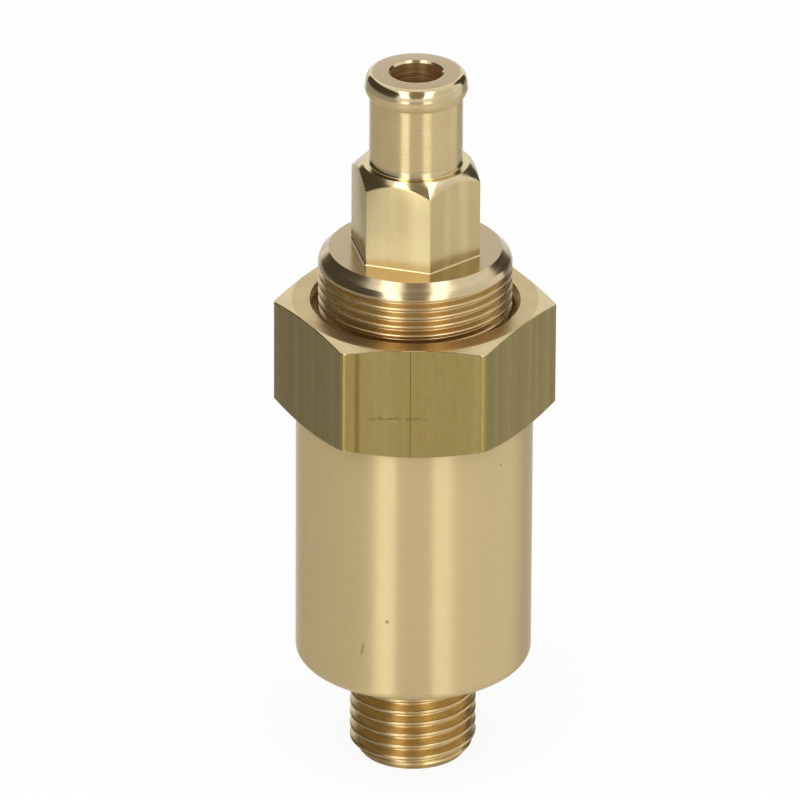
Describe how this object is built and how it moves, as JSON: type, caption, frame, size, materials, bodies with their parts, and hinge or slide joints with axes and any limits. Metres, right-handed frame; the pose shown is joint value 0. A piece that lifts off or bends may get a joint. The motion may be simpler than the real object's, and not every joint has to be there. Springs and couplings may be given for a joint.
{
  "type": "automatic air vent",
  "caption": "Adjustable thermostatic automatic air vent in brass: threaded inlet spigot, round barrel with hexagon, screwed adjusting sleeve and beaded hose nozzle.",
  "frame": {"origin": "centre of the inlet spigot's end face, at the bottom of the part", "axes": "+Z along the axis from the inlet to the hose nozzle; +Y square to a pair of flats of the large hexagon; +X towards one of its corners"},
  "size_m": [0.029, 0.0252, 0.0771],
  "materials": {
    "turned_brass": "fine turned barrel and drawn hexagon flats, satin",
    "machined_brass": "cut thread and faced rim, bright satin",
    "polished_brass": "milled hexagon and smooth turned neck, bright",
    "inner_brass": "as machined, matt",
    "stainless": "turned, satin",
    "bellows_stainless": "thin formed sheet, smooth",
    "stainless_gauze": "perforated sheet, matt",
    "spring_steel": "drawn wire, smooth",
    "solder": "soft solder, dull",
    "copper": "annealed soft copper, matt",
    "black_rubber": "moulded rubber, matt"
  },
  "bodies": {
    "housing": {"valve_body": "turned_brass", "inlet_strainer": "stainless_gauze", "strainer_ring": "spring_steel", "capsule_carrier": "inner_brass", "stud_washer": "stainless", "stud_nut": "stainless", "capsule_lower_cap": "stainless", "capsule_stop_post": "stainless", "capsule_bellows": "bellows_stainless", "adjuster_spring": "spring_steel"},
    "thrust_ring": {"thrust_washer": "inner_brass"},
    "adjuster": {"adjusting_sleeve": "machined_brass", "sleeve_o_ring": "black_rubber", "valve_seat": "stainless", "seat_gasket": "copper", "nozzle_gasket": "copper", "outlet_nozzle": "polished_brass"},
    "capsule_head": {"capsule_upper_cap": "stainless", "capsule_fill_plug": "solder", "needle": "stainless", "needle_lock_nut": "stainless"}
  },
  "joints": [
    {"name": "adjuster_rise", "type": "slide", "parent": "housing", "child": "thrust_ring", "axis": [0, 0, 1], "range_m": [0, 0.002], "deforming": ["adjuster_spring"]},
    {"name": "adjuster_turn", "type": "hinge", "parent": "thrust_ring", "child": "adjuster", "pos_m": [0, 0, 0.05155], "axis": [0, 0, 1], "range_deg": [0, 720]},
    {"name": "valve_lift", "type": "slide", "parent": "housing", "child": "capsule_head", "axis": [0, 0, 1], "range_m": [0, 0.002], "stiffness_N_per_m": 5000, "deforming": ["capsule_bellows"]}
  ],
  "couplings": [
    {"joint": "adjuster_turn", "follows": "adjuster_rise", "rad_per_m": 6283.2}
  ]
}
